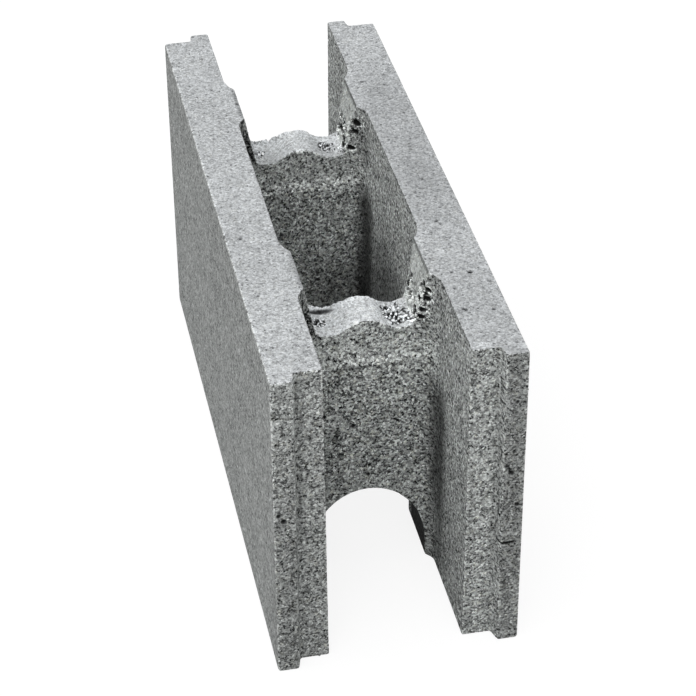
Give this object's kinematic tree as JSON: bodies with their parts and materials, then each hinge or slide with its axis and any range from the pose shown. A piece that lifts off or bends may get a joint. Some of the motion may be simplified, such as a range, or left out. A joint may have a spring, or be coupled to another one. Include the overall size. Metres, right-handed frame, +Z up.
{
  "type": "concrete formwork block",
  "caption": "Open concrete shuttering block: two walls on arched webs with wavy bar saddles and lapped ends, laid dry and filled with concrete.",
  "frame": {"origin": "middle of the underside of the block's overall box", "axes": "+Z up, +Y along the walls towards the rear end with the inner tongues, +X across the walls to the right as seen from the front end"},
  "size_m": [0.175, 0.5, 0.25],
  "materials": {
    "concrete": "rough, fine open grain"
  },
  "bodies": {
    "root": {"formwork_block": "concrete"}
  },
  "joints": []
}
